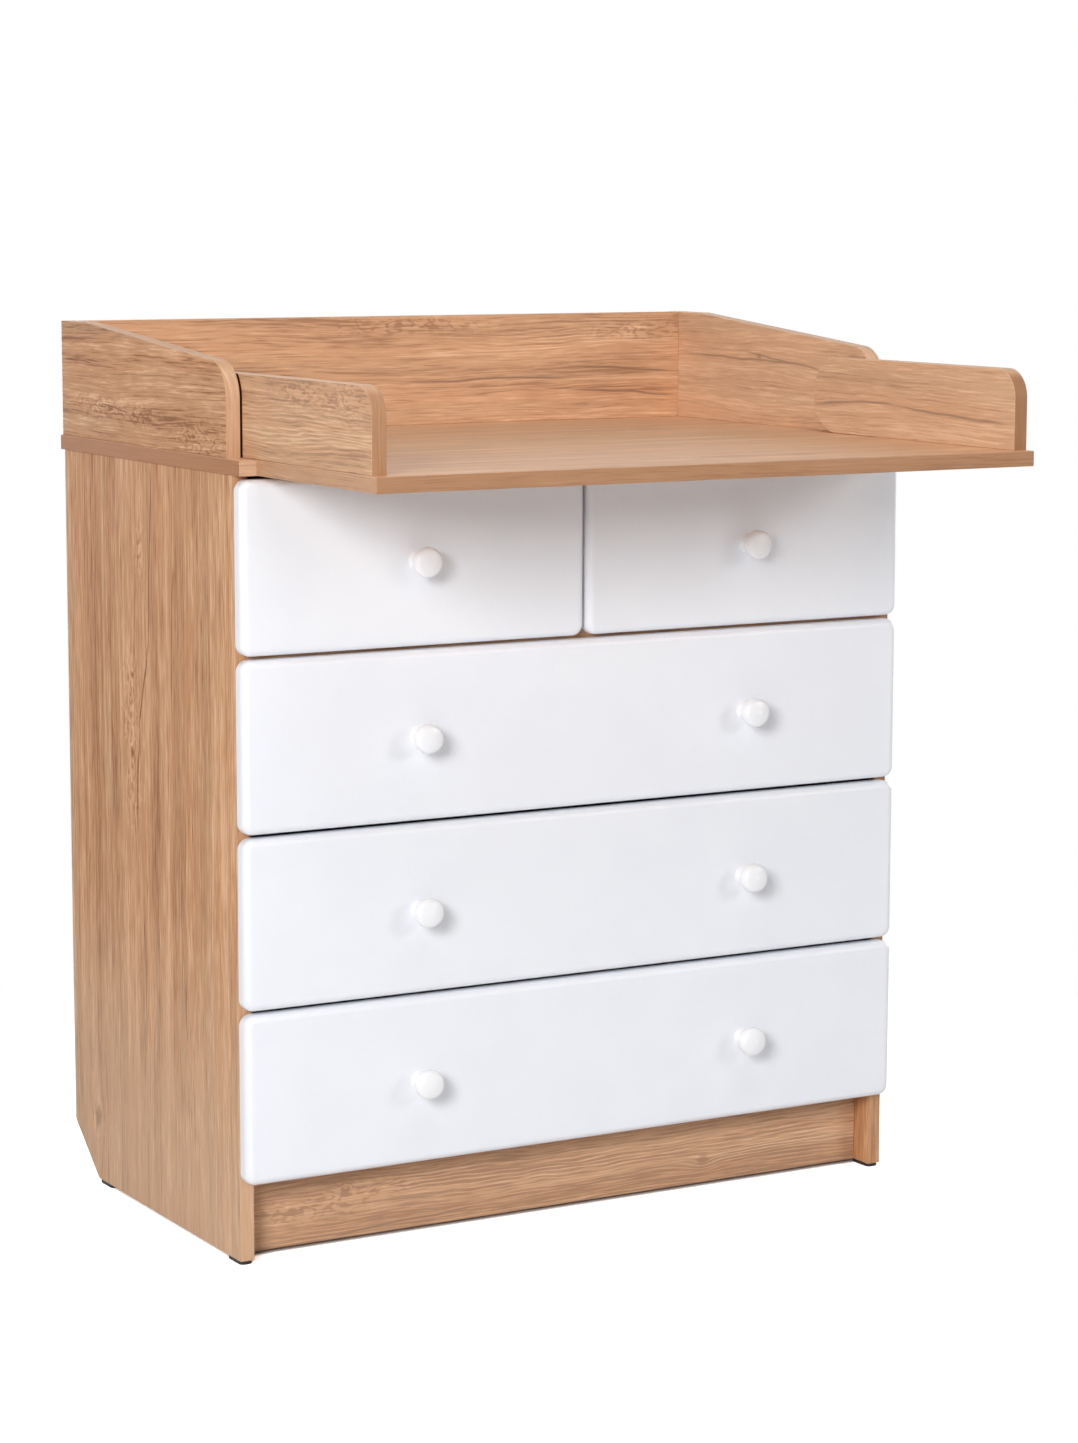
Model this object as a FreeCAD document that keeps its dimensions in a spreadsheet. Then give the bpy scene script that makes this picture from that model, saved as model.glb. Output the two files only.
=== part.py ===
"""Changing dresser: a chest of five drawers whose railed deck carries a fold-over changing board.

The carcass is laminated board: two side panels, a bottom panel on a recessed plinth, a divider shelf
with an upright under the deck, and a thin back sheet. Two narrow drawers stand side by side over three
wide ones, each on a pair of ball runners. The deck has a back rail and two sloped side rails. Between
them the folding board hangs on two pins through the round rear ends of its own rails: it lies level in
front of the deck, or turns over by half a turn and lies upside down on it.

Millimetres. +X is to the right of someone who faces the drawers, +Y runs to the back and +Z up. The
origin is on the floor, under the middle of the dresser with its board folded out.
"""
import FreeCAD, Part
import os
import Sketcher

from FreeCAD import Placement, Rotation, Vector

DRIVING_SIZES = (
    # Boards and carcass
    ("width", 800, "across the outer faces of the side panels"),
    ("side_depth", 437, "side panel, front edge to rear edge"),
    ("board", 16, "thickness of the laminated boards"),
    ("edge_round", 0.8, "rounding of the banded board edges"),
    ("thin_sheet", 3, "thickness of the back sheet and the drawer bottoms"),
    ("kick_height", 87, "floor to the lower edge of the lowest drawer front"),
    ("chamfer_height", 53, "rear lower corner of a side panel, up its rear edge"),
    ("chamfer_depth", 64, "rear lower corner of a side panel, along its lower edge"),
    ("plinth_setback", 28, "plinth face behind the front edges of the side panels"),
    ("rear_plinth_inset", 8, "rear plinth in front of the foot of the chamfer"),
    ("bottom_reveal", 2, "bottom panel above the lower edge of the lowest front"),
    ("back_sheet_margin", 1, "back sheet inside the outer faces and under the deck"),
    ("glide_height", 4, "floor to the underside of the side panels"),
    ("glide_length", 34, "glide along the side panel"),
    ("glide_width", 15, "glide across the side panel"),
    ("glide_inset", 1, "glide behind the end of the panel's lower edge"),
    ("glide_round", 1, "rounding of a glide's lower edge"),
    # Drawer fronts and knobs
    ("front_height", 178, "drawer front"),
    ("front_gap", 4, "between neighbouring fronts, and under the deck"),
    ("front_thickness", 16, "drawer front"),
    ("front_air", 2, "between a closed front and the carcass"),
    ("front_corner", 12, "corner radius of a front, seen square on"),
    ("front_round", 8, "rounding of the edges of a front's face"),
    ("knob_radius", 15.5, "head of a knob"),
    ("knob_reach", 30, "knob in front of the drawer front"),
    ("knob_head", 15, "head of a knob along its axis"),
    ("knob_dome", 3, "rise of the crown of a knob"),
    ("knob_rim", 5, "rounding of the rim of a knob"),
    ("knob_neck_radius", 8.5, "neck of a knob"),
    ("knob_foot_radius", 10.5, "foot of a knob on the front"),
    ("knob_foot", 4, "height of the flare of the foot"),
    ("knob_hollow", 3, "rounding between the neck of a knob and its head and foot"),
    ("stud_radius", 2.5, "screw stud of a knob"),
    ("stud_length", 11, "screw stud in the drawer front"),
    # Deck and its rails
    ("deck_overhang", 2, "deck beyond the side panels"),
    ("deck_nose", 1, "deck in front of the faces of the drawer fronts"),
    ("deck_rear_overhang", 4, "deck behind the back sheet"),
    ("back_rail_height", 125, "back rail, and side rails at the rear"),
    ("back_rail_inset", 7, "back rail in front of the rear ends of the side rails"),
    ("rear_rail_front_height", 94, "slope of a side rail, carried on to its front edge"),
    ("rear_rail_level", 67, "level stretch of a side rail's top, at the rear"),
    ("rear_rail_setback", 34, "side rail behind the deck's front edge"),
    ("rear_rail_inset", 2, "side rail in front of the deck's rear edge"),
    ("rear_rail_round", 38, "upper front corner of a side rail"),
    # Folding board
    ("fold_board_depth", 262, "folding board, front to rear"),
    ("fold_board_air", 1, "beside the folded board, to each side rail"),
    ("fold_rail_gap", 2, "between a folding rail and the deck's side rail"),
    ("fold_rail_height", 84, "folding rail, and twice the radius of its rear end"),
    ("fold_rail_setback", 12, "folding rail behind the board's front edge"),
    ("fold_rail_round", 30, "upper front corner of a folding rail"),
    ("fold_clearance", 0.3, "folding section clear of the deck"),
    ("pivot_setback", 79, "pivot behind the deck's front edge"),
    ("pin_radius", 4, "pivot pin"),
    ("pin_seat", 12, "pivot pin in the deck's side rail"),
    ("pin_reach", 10, "pivot pin in the bush"),
    ("bush_wall", 2, "wall of the pivot bush"),
    ("bush_depth", 12, "bush in the folding rail"),
    ("bush_flange", 1.4, "flange of the bush, in the gap between the rails"),
    ("bush_flange_radius", 10, "flange of the bush"),
    ("running_clearance", 0.05, "radial play of pins in their holes"),
    # Drawer boxes and runners
    ("box_rear_air", 39, "between a closed drawer box and the back sheet"),
    ("box_height", 130, "sides of a drawer box"),
    ("box_lift", 22, "drawer box above the lower edge of its front"),
    ("bottom_lift", 10, "drawer bottom above the lower edge of the box"),
    ("groove_depth", 7, "groove for the drawer bottom"),
    ("groove_play", 0.3, "drawer bottom in its groove"),
    ("runner_space", 12.7, "between a drawer box and the wall beside it"),
    ("runner_inset", 2, "runner behind the front edge of its wall"),
    ("runner_rear_air", 35, "between a runner and the back sheet"),
    ("runner_steel", 1.2, "sheet of the runners"),
    ("runner_height", 42, "outer member of a runner, on the carcass"),
    ("runner_lip", 10, "lips of the outer member"),
    ("slide_height", 30, "inner member of a runner, on the drawer"),
    ("slide_lip", 8.5, "lips of the inner member"),
    ("slide_travel", 300, "how far a drawer opens"),
    ("cage_length", 90, "ball cage of a runner"),
    ("cage_stop", 5, "ball cage behind the front of its runner, with the drawer open"),
    ("cage_width", 7, "ball strips of the cage"),
    ("cage_sheet", 0.8, "web of the cage"),
    ("cage_play", 0.3, "cage to the members above and below it"),
    # Fasteners
    ("cam_radius", 7.5, "cam lock"),
    ("cam_depth", 12.5, "cam lock in its board"),
    ("cam_distance", 34, "cam lock from the joint that it draws up"),
    ("cam_socket_radius", 2.5, "tool socket of a cam lock"),
    ("cam_socket_depth", 3, "tool socket of a cam lock"),
    ("cam_bolt_radius", 3, "bolt of a cam lock"),
    ("cam_bolt_seat", 10, "bolt in the board that it is screwed into"),
    ("cam_inset", 60, "cam locks from the front and rear edges of the carcass"),
    ("dowel_radius", 4, "dowel of the upright"),
    ("dowel_seat", 10, "dowel on each side of its joint"),
    ("screw_radius", 3.5, "shank of the rail screws"),
    ("screw_reach", 34, "rail screws in the rail"),
    ("screw_head_radius", 5, "head of the rail screws"),
    ("screw_head", 3, "height of the head of the rail screws"),
    ("rail_screw_inset", 95, "end screws of a side rail from its ends"),
    ("back_rail_screw_inset", 84, "end screws of the back rail from its ends"),
    ("fold_screw_inset", 45, "end screws of a folding rail from the ends of its seat"),
)
FRONT_ROWS = 4
SIDES = {"left": -1, "right": 1}

doc = FreeCAD.newDocument("changing_dresser")
sheet = doc.addObject("Spreadsheet::Sheet", "sizes")
nodes = {}


# --- Sizes that stay tied to the sheet ---------------------------------------------------------


class Size:
    """A length with the formula that it comes from, so that what is built from it stays parametric."""

    def __init__(self, value, formula):
        self.value = value
        self.formula = formula

    def __add__(self, other):
        other = as_size(other)
        return Size(self.value + other.value, f"({self.formula} + {other.formula})")

    def __sub__(self, other):
        other = as_size(other)
        return Size(self.value - other.value, f"({self.formula} - {other.formula})")

    def __mul__(self, factor):
        return Size(self.value * factor, f"({self.formula} * {factor})")

    def __truediv__(self, divisor):
        return Size(self.value / divisor, f"({self.formula} / {divisor})")

    def __neg__(self):
        return Size(-self.value, f"(0 - {self.formula})")


def as_size(length):
    """A plain number as a size, and a size as it is."""
    return length if isinstance(length, Size) else Size(float(length), str(length))


def fill_sheet():
    """Write the driving sizes to the sheet and return them by name."""
    for row, (name, value, meaning) in enumerate(DRIVING_SIZES, start=1):
        sheet.set(f"A{row}", meaning)
        sheet.set(f"B{row}", str(value))
        sheet.setAlias(f"B{row}", name)
    doc.recompute()
    return {name: Size(float(sheet.get(name)), f"sizes.{name}") for name, _, _ in DRIVING_SIZES}


def bind(item, prop, length):
    """Tie a property of an object to a size."""
    item.setExpression(prop, as_size(length).formula)


def place(item, corner, rotation=Rotation()):
    """Put an object's own origin at a point, and tie that point to its sizes."""
    point = [as_size(length) for length in corner]
    item.Placement = Placement(Vector(*(length.value for length in point)), rotation)
    for axis, length in zip("xyz", point):
        bind(item, f"Placement.Base.{axis}", length)


of = fill_sheet()
TOWARDS = {
    "+x": Rotation(Vector(0, 0, 1), Vector(1, 0, 0)),
    "-x": Rotation(Vector(0, 0, 1), Vector(-1, 0, 0)),
    "+y": Rotation(Vector(0, 0, 1), Vector(0, 1, 0)),
    "-y": Rotation(Vector(0, 0, 1), Vector(0, -1, 0)),
    "+z": Rotation(),
    "-z": Rotation(Vector(1, 0, 0), 180),
}

# Heights
row_pitch = of["front_height"] + of["front_gap"]
deck_underside = of["kick_height"] + row_pitch * FRONT_ROWS
deck_top = deck_underside + of["board"]
bottom_panel_low = of["kick_height"] + of["bottom_reveal"]
shelf_low = deck_underside - row_pitch - (of["front_gap"] + of["board"]) / 2

# Depths. The carcass front is the plane of the side panels' front edges.
deck_lead = of["front_air"] + of["front_thickness"] + of["deck_nose"]
board_lead = deck_lead + of["fold_clearance"] + of["fold_board_depth"]
deck_tail = of["side_depth"] + of["thin_sheet"] + of["deck_rear_overhang"]
carcass_front = (board_lead - deck_tail) / 2
deck_front = carcass_front - deck_lead
deck_rear = carcass_front + deck_tail
board_front = carcass_front - board_lead
front_back_face = carcass_front - of["front_air"]
front_face = front_back_face - of["front_thickness"]
carcass_rear = carcass_front + of["side_depth"]
chamfer_foot = carcass_rear - of["chamfer_depth"]
rail_front = deck_front + of["rear_rail_setback"]
rail_rear = deck_rear - of["rear_rail_inset"]
back_rail_rear = rail_rear - of["back_rail_inset"]
box_depth = carcass_rear - of["box_rear_air"] - front_back_face
runner_length = of["side_depth"] - of["runner_inset"] - of["runner_rear_air"]

# Widths
half_width = of["width"] / 2
half_inside = half_width - of["board"]
half_board = of["board"] / 2

# The pivot of the folding board
pivot_y = deck_front + of["pivot_setback"]
fold_low = deck_top + of["fold_clearance"]
fold_rail_half = of["fold_rail_height"] / 2
pivot_z = fold_low + fold_rail_half
fold_rail_face = half_inside - of["fold_rail_gap"]
fold_rail_front = board_front + of["fold_rail_setback"]


# --- Building blocks ---------------------------------------------------------------------------


def add_body(name, corner, rotation=Rotation()):
    """An empty body with its own origin at a point."""
    body = doc.addObject("PartDesign::Body", name)
    place(body, corner, rotation)
    return body


def add_block(body, lengths, corner=(0, 0, 0)):
    """Add a rectangular block to a body."""
    block = body.newObject("PartDesign::AdditiveBox", body.Name + "_block")
    for prop, length in zip(("Length", "Width", "Height"), lengths):
        bind(block, prop, length)
    place(block, corner)
    return block


def add_cylinder(body, kind, corner, towards, radius, depth):
    """Add or subtract a round feature that runs from a point in a direction."""
    round_feature = body.newObject(f"PartDesign::{kind}Cylinder", body.Name + "_round")
    bind(round_feature, "Radius", radius)
    bind(round_feature, "Height", depth)
    place(round_feature, corner, TOWARDS[towards])
    return round_feature


def drill(body, corner, towards, radius, depth):
    """Sink a round hole into a body, from a point on its face."""
    return add_cylinder(body, "Subtractive", corner, towards, radius, depth)


def edges_of(shape, chosen):
    """Names of the edges that a test picks out."""
    return [f"Edge{number}" for number, edge in enumerate(shape.Edges, start=1) if chosen(edge)]


def round_edges(body, feature, radius, chosen=lambda edge: True):
    """Fillet the edges of a body's last feature that a test picks out."""
    doc.recompute()
    fillet = body.newObject("PartDesign::Fillet", body.Name + "_rounding")
    fillet.Base = (feature, edges_of(feature.Shape, chosen))
    bind(fillet, "Radius", radius)
    body.Tip = fillet
    return fillet


def reaches(edge, **extremes):
    """Whether an edge lies wholly at the given coordinates, such as y=0 or z=16."""
    box = edge.BoundBox
    ends = {"x": (box.XMin, box.XMax), "y": (box.YMin, box.YMax), "z": (box.ZMin, box.ZMax)}
    return all(abs(end - level) < 1e-4 for axis, level in extremes.items() for end in ends[axis])


def is_along(edge, axis):
    """Whether an edge is straight and runs along an axis."""
    return edge.Curve.TypeId == "Part::GeomLine" and abs(abs(getattr(edge.Curve.Direction, axis)) - 1) < 1e-6


def is_front_top(edge):
    """The edge where a rail's top meets its front."""
    return is_along(edge, "x") and edge.BoundBox.YMax < 1e-4 and edge.BoundBox.ZMin > 1


def is_on_broad_face(edge):
    """An edge along the outline of a board that stands in the YZ plane."""
    return edge.BoundBox.XLength < 1e-4


def is_ring(edge, radius):
    """Whether an edge is a full circle of a given radius about the body's own Y axis."""
    box = edge.BoundBox
    return box.YLength < 1e-4 and abs(box.XLength - radius.value * 2) < 1e-2


def is_knob_hollow(edge):
    """One of the two rings where the neck of a knob meets its foot and its head."""
    return is_ring(edge, of["knob_neck_radius"])


def origin_plane(body, role):
    """One of a body's own origin planes."""
    return next(plane for plane in body.Origin.OriginFeatures if plane.Role == role)


def dome_arc(rim, crown):
    """The arc from a rim up to a crown on the vertical axis, level at the crown."""
    rise = crown.y - rim.y
    radius = (rim.x**2 + rise**2) / (2 * rise)
    circle = Part.Circle(Vector(0, crown.y - radius, 0), Vector(0, 0, 1), radius)
    return Part.ArcOfCircle(circle, circle.parameter(rim), circle.parameter(crown))


def draw_outline(body, role, corners, dome=False):
    """A closed sketch on an origin plane of the body, with each corner tied to its sizes.

    Its sides are straight, but with dome the last one is an arc that is centred on the vertical axis.
    """
    sketch = body.newObject("Sketcher::SketchObject", body.Name + "_outline")
    sketch.AttachmentSupport = (origin_plane(body, role), [""])
    sketch.MapMode = "FlatFace"
    points = [[as_size(length) for length in corner] for corner in corners]
    spots = [Vector(across.value, up.value, 0) for across, up in points]
    count = len(spots)
    for side in range(count - dome):
        sketch.addGeometry(Part.LineSegment(spots[side], spots[(side + 1) % count]), False)
    if dome:
        sketch.addGeometry(dome_arc(spots[-1], spots[0]), False)
        sketch.addConstraint(Sketcher.Constraint("PointOnObject", count - 1, 3, -2))
    for side, point in enumerate(points):
        sketch.addConstraint(Sketcher.Constraint("Coincident", (side - 1) % count, 2, side, 1))
        for axis, length in zip(("DistanceX", "DistanceY"), point):
            fix_corner(sketch, side, axis, length)
    return sketch


def fix_corner(sketch, line, axis, length):
    """Tie one coordinate of the start of a line to a size."""
    number = sketch.addConstraint(Sketcher.Constraint(axis, line, 1, length.value))
    bind(sketch, f"Constraints[{number}]", length)


def pad(body, sketch, length):
    """Extrude a sketch."""
    extrusion = body.newObject("PartDesign::Pad", body.Name + "_pad")
    extrusion.Profile = sketch
    bind(extrusion, "Length", length)
    return extrusion


def keep(name, piece):
    """Name a finished sub-part."""
    piece.Label = name
    nodes[name] = piece
    return piece


def keep_group(name, pieces):
    """Name a set of like solids as one sub-part."""
    group = doc.addObject("Part::Compound", name)
    group.Links = pieces
    return keep(name, group)


def board_piece(name, lengths, corner):
    """A rectangular board with banded, slightly rounded edges."""
    body = add_body(name, corner)
    round_edges(body, add_block(body, lengths), of["edge_round"])
    return body


def make_rod(name, corner, towards, radius, length):
    """A plain round rod."""
    rod = doc.addObject("Part::Cylinder", name)
    bind(rod, "Radius", radius)
    bind(rod, "Height", length)
    place(rod, corner, TOWARDS[towards])
    return rod


def make_screw(name, corner):
    """An upright screw with its head flush in the underside of the board that it goes through."""
    head = make_rod(f"{name}_head", corner, "+z", of["screw_head_radius"], of["screw_head"])
    shank = make_rod(f"{name}_shank", corner, "+z", of["screw_radius"], of["board"] + of["screw_reach"])
    screw = doc.addObject("Part::MultiFuse", name)
    screw.Shapes = [head, shank]
    return screw


def make_cam(name, corner, towards):
    """A cam lock, flush with the board's face at the corner point, with its tool socket."""
    radius = of["cam_radius"] - of["running_clearance"]
    disc = make_rod(f"{name}_disc", corner, towards, radius, of["cam_depth"])
    socket = make_rod(f"{name}_socket", corner, towards, of["cam_socket_radius"], of["cam_socket_depth"])
    cam = doc.addObject("Part::Cut", name)
    cam.Base = disc
    cam.Tool = socket
    return cam


# --- Carcass -----------------------------------------------------------------------------------
# Each lock is worked out once: it drills the boards that it joins and gives its cam and its bolt a place.

bolt_hole = of["cam_bolt_radius"] + of["running_clearance"]
dowel_hole = of["dowel_radius"] + of["running_clearance"]
shelf_top = shelf_low + of["board"]
cam_rows = (carcass_front + of["cam_inset"], carcass_rear - of["cam_inset"])
plinth_y = carcass_front + of["plinth_setback"]
rear_plinth_y = chamfer_foot - of["rear_plinth_inset"] - of["board"]
plinth_height = bottom_panel_low - of["glide_height"]
plinth_middle = of["glide_height"] + plinth_height / 2
bolt_length = of["cam_bolt_seat"] + of["cam_distance"] - of["cam_radius"]
cams = []
bolts = []


def lock_end(body, side, corner, y, z, cam_face, cam_towards):
    """Drill one end of a board between the sides for a lock, and list the lock's cam and bolt.

    corner is the body's own origin, y and z the bolt's place, and cam_face the y and z of the cam's face.
    """
    inwards = -SIDES[side]
    end_x = half_inside * SIDES[side]
    into = "+x" if inwards > 0 else "-x"
    cam_spot = (end_x + of["cam_distance"] * inwards, *cam_face)
    drill(body, offsets(cam_spot, corner), cam_towards, of["cam_radius"], of["cam_depth"])
    drill(body, offsets((end_x, y, z), corner), into, bolt_hole, of["cam_distance"])
    cams.append((cam_spot, cam_towards))
    bolts.append(((end_x - of["cam_bolt_seat"] * inwards, y, z), into))


def offsets(point, corner):
    """A point of the dresser as seen from a body's own origin."""
    return [as_size(length) - start for length, start in zip(point, corner)]


def make_level_panel(name, low):
    """A level board between the side panels, held by cam locks in its underside."""
    corner = (-half_inside, carcass_front, low)
    body = board_piece(name, (half_inside * 2, of["side_depth"], of["board"]), corner)
    for side in SIDES:
        for y in cam_rows:
            lock_end(body, side, corner, y, low + half_board, (y, low), "+z")
    return keep(name, body)


def make_plinth(name, y, cam_towards):
    """An upright board under the bottom panel, held by cam locks in the face that doesn't show."""
    corner = (-half_inside, y, of["glide_height"])
    body = board_piece(name, (half_inside * 2, of["board"], plinth_height), corner)
    face = y + of["board"] if cam_towards == "-y" else y
    for side in SIDES:
        lock_end(body, side, corner, y + half_board, plinth_middle, (face, plinth_middle), cam_towards)
    return keep(name, body)


def make_side_panel(side):
    """A side panel, cut off at its rear lower corner and drilled for the locks of every board it meets."""
    corner = (half_width * SIDES[side] - of["board"] * (side == "right"), carcass_front, of["glide_height"])
    body = add_body(f"side_panel_{side}", corner)
    depth = of["side_depth"]
    height = deck_underside - of["glide_height"]
    outline = (
        (0, 0),
        (depth - of["chamfer_depth"], 0),
        (depth, of["chamfer_height"]),
        (depth, height),
        (0, height),
    )
    panel = pad(body, draw_outline(body, "YZ_Plane", outline), of["board"])
    round_edges(body, panel, of["edge_round"])
    inner_x = half_inside * SIDES[side]
    outwards = "-x" if side == "left" else "+x"
    bolt_spots = [(y, low + half_board) for low in (bottom_panel_low, shelf_low) for y in cam_rows]
    bolt_spots += [(y + half_board, plinth_middle) for y in (plinth_y, rear_plinth_y)]
    for y, z in bolt_spots:
        drill(body, offsets((inner_x, y, z), corner), outwards, bolt_hole, of["cam_bolt_seat"])
    for y in cam_rows:
        cam_spot = (inner_x, y, deck_underside - of["cam_distance"])
        bolt_x = (half_width - half_board) * SIDES[side]
        drill(body, offsets(cam_spot, corner), outwards, of["cam_radius"], of["cam_depth"])
        drill(body, offsets((bolt_x, y, deck_underside), corner), "-z", bolt_hole, of["cam_distance"])
        cams.append((cam_spot, outwards))
        bolts.append(((bolt_x, y, deck_underside + of["cam_bolt_seat"]), "-z"))
    return keep(f"side_panel_{side}", body)


def drill_for_upright(body):
    """Blind holes in the shelf's top for the dowels of the upright."""
    for y in cam_rows:
        spot = offsets((0, y, shelf_top), (-half_inside, carcass_front, shelf_low))
        drill(body, spot, "-z", dowel_hole, of["dowel_seat"])


def make_upright():
    """The upright between the two narrow drawers, drilled for its dowels."""
    corner = (-half_board, carcass_front, shelf_top)
    height = deck_underside - shelf_top
    body = board_piece("centre_divider", (of["board"], of["side_depth"], height), corner)
    for y in cam_rows:
        for z, towards in ((shelf_top, "+z"), (deck_underside, "-z")):
            drill(body, offsets((0, y, z), corner), towards, dowel_hole, of["dowel_seat"])
    return keep("centre_divider", body)


def make_back_sheet():
    """The thin sheet on the rear edges of the carcass, above the cut-off corners."""
    margin = of["back_sheet_margin"]
    low = of["glide_height"] + of["chamfer_height"] + margin
    corner = (margin - half_width, carcass_rear, low)
    body = add_body("back_sheet", corner)
    add_block(body, ((half_width - margin) * 2, of["thin_sheet"], deck_underside - margin - low))
    return keep("back_sheet", body)


def make_glide(side, y):
    """A plastic glide under a side panel."""
    x = (half_width - half_board) * SIDES[side] - of["glide_width"] / 2
    body = add_body(f"glide_{side}", (x, y, 0))
    block = add_block(body, (of["glide_width"], of["glide_length"], of["glide_height"]))
    ends = round_edges(body, block, of["glide_width"] / 2.5, lambda edge: is_along(edge, "z"))
    round_edges(body, ends, of["glide_round"], lambda edge: reaches(edge, z=0))
    return body


make_side_panel("left")
make_side_panel("right")
make_level_panel("bottom_panel", bottom_panel_low)
drill_for_upright(make_level_panel("divider_shelf", shelf_low))
make_plinth("plinth", plinth_y, "-y")
make_plinth("rear_plinth", rear_plinth_y, "+y")
make_upright()
make_back_sheet()
glide_rows = (carcass_front + of["glide_inset"], chamfer_foot - of["glide_inset"] - of["glide_length"])
keep_group("glides", [make_glide(side, y) for side in SIDES for y in glide_rows])
keep_group("cam_locks", [make_cam(f"cam_{n}", *spot) for n, spot in enumerate(cams)])
keep_group(
    "cam_bolts",
    [make_rod(f"bolt_{n}", *spot, of["cam_bolt_radius"], bolt_length) for n, spot in enumerate(bolts)],
)
dowel_lows = (shelf_top - of["dowel_seat"], deck_underside - of["dowel_seat"])
keep_group(
    "dowels",
    [
        make_rod("dowel", (0, y, z), "+z", of["dowel_radius"], of["dowel_seat"] * 2)
        for y in cam_rows
        for z in dowel_lows
    ],
)


# --- Deck and its rails ------------------------------------------------------------------------

side_rail_length = rail_rear - rail_front
side_rail_x = half_width - half_board
back_rail_y = back_rail_rear - of["board"]
side_rail_screws = [
    (side_rail_x * SIDES[side], y)
    for side in SIDES
    for y in (
        rail_front + of["rail_screw_inset"],
        rail_front + side_rail_length / 2,
        rail_rear - of["rail_screw_inset"],
    )
]
back_rail_reach = half_inside - of["back_rail_screw_inset"]
back_rail_screws = [(back_rail_reach * share, back_rail_y + half_board) for share in (-1, -1 / 3, 1 / 3, 1)]
screw_hole = of["screw_radius"] + of["running_clearance"]
screw_head_hole = of["screw_head_radius"] + of["running_clearance"]


def drill_for_screws(body, corner, spots, low):
    """Holes right through a level board, with room for the screw heads in its underside."""
    for x, y in spots:
        spot = offsets((x, y, low), corner)
        drill(body, spot, "+z", screw_hole, of["board"])
        drill(body, spot, "+z", screw_head_hole, of["screw_head"])


def drill_rail(body, corner, spots, low):
    """Blind holes for the screws, in the lower edge of a rail."""
    for x, y in spots:
        drill(body, offsets((x, y, low), corner), "+z", screw_hole, of["screw_reach"])


def make_deck():
    """The deck: screw holes for the rails, and blind holes for the bolts and dowels below it."""
    corner = (-half_width - of["deck_overhang"], deck_front, deck_underside)
    lengths = ((half_width + of["deck_overhang"]) * 2, deck_rear - deck_front, of["board"])
    body = board_piece("top_deck", lengths, corner)
    drill_for_screws(body, corner, side_rail_screws + back_rail_screws, deck_underside)
    for y in cam_rows:
        for side in SIDES:
            spot = offsets((side_rail_x * SIDES[side], y, deck_underside), corner)
            drill(body, spot, "+z", bolt_hole, of["cam_bolt_seat"])
        drill(body, offsets((0, y, deck_underside), corner), "+z", dowel_hole, of["dowel_seat"])
    return keep("top_deck", body)


def make_side_rail(side):
    """A side rail of the deck: level at the rear, then sloping down to a rounded front corner."""
    name = f"rear_rail_{side}"
    corner = (side_rail_x * SIDES[side] - half_board, rail_front, deck_top)
    body = add_body(name, corner)
    height = of["back_rail_height"]
    outline = (
        (0, 0),
        (side_rail_length, 0),
        (side_rail_length, height),
        (side_rail_length - of["rear_rail_level"], height),
        (0, of["rear_rail_front_height"]),
    )
    rail = pad(body, draw_outline(body, "YZ_Plane", outline), of["board"])
    nose = round_edges(body, rail, of["rear_rail_round"], lambda edge: is_front_top(edge))
    round_edges(body, nose, of["edge_round"], lambda edge: is_on_broad_face(edge))
    pin_face = of["board"] if side == "left" else 0
    pin_spot = (pin_face, pivot_y - rail_front, pivot_z - deck_top)
    drill(body, pin_spot, "-x" if side == "left" else "+x", pin_hole, of["pin_seat"])
    own_screws = [spot for spot in side_rail_screws if spot[0].value * SIDES[side] > 0]
    drill_rail(body, corner, own_screws, deck_top)
    return keep(name, body)


def make_back_rail():
    """The back rail, between the side rails."""
    corner = (-half_inside, back_rail_y, deck_top)
    body = board_piece("back_rail", (half_inside * 2, of["board"], of["back_rail_height"]), corner)
    drill_rail(body, corner, back_rail_screws, deck_top)
    return keep("back_rail", body)


pin_hole = of["pin_radius"] + of["running_clearance"]
make_deck()
for rail_side in SIDES:
    make_side_rail(rail_side)
make_back_rail()
rail_screws = [(*spot, deck_underside) for spot in side_rail_screws + back_rail_screws]
keep_group("rail_screws", [make_screw(f"rail_screw_{n}", spot) for n, spot in enumerate(rail_screws)])


# --- Folding board -----------------------------------------------------------------------------

fold_board_half = half_inside - of["fold_board_air"]
fold_board_low = fold_low - of["board"]
fold_board_rear = board_front + of["fold_board_depth"]
fold_rail_x = fold_rail_face - half_board
fold_seat = fold_board_rear - fold_rail_front
fold_screws = [
    (fold_rail_x * SIDES[side], y)
    for side in SIDES
    for y in (
        fold_rail_front + of["fold_screw_inset"],
        fold_rail_front + fold_seat / 2,
        fold_board_rear - of["fold_screw_inset"],
    )
]
bush_radius = of["pin_radius"] + of["running_clearance"] + of["bush_wall"]


def make_fold_board():
    """The board that lies level with the deck in front of it."""
    corner = (-fold_board_half, board_front, fold_board_low)
    body = board_piece("fold_board", (fold_board_half * 2, of["fold_board_depth"], of["board"]), corner)
    drill_for_screws(body, corner, fold_screws, fold_board_low)
    return keep("fold_board", body)


def make_fold_rail(side):
    """A rail of the folding board, which reaches back over the deck to a half-round end about the pivot."""
    name = f"fold_rail_{side}"
    corner = (fold_rail_x * SIDES[side] - half_board, fold_rail_front, fold_low)
    body = add_body(name, corner)
    reach = pivot_y - fold_rail_front
    add_block(body, (of["board"], reach, of["fold_rail_height"]))
    end = add_cylinder(body, "Additive", (0, reach, fold_rail_half), "+x", fold_rail_half, of["board"])
    nose = round_edges(body, end, of["fold_rail_round"], lambda edge: is_front_top(edge))
    round_edges(body, nose, of["edge_round"], lambda edge: is_on_broad_face(edge))
    bush_face = 0 if side == "left" else of["board"]
    inwards = "+x" if side == "left" else "-x"
    drill(body, (bush_face, reach, fold_rail_half), inwards, bush_radius, of["bush_depth"])
    own_screws = [spot for spot in fold_screws if spot[0].value * SIDES[side] > 0]
    drill_rail(body, corner, own_screws, fold_low)
    return keep(name, body)


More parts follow.
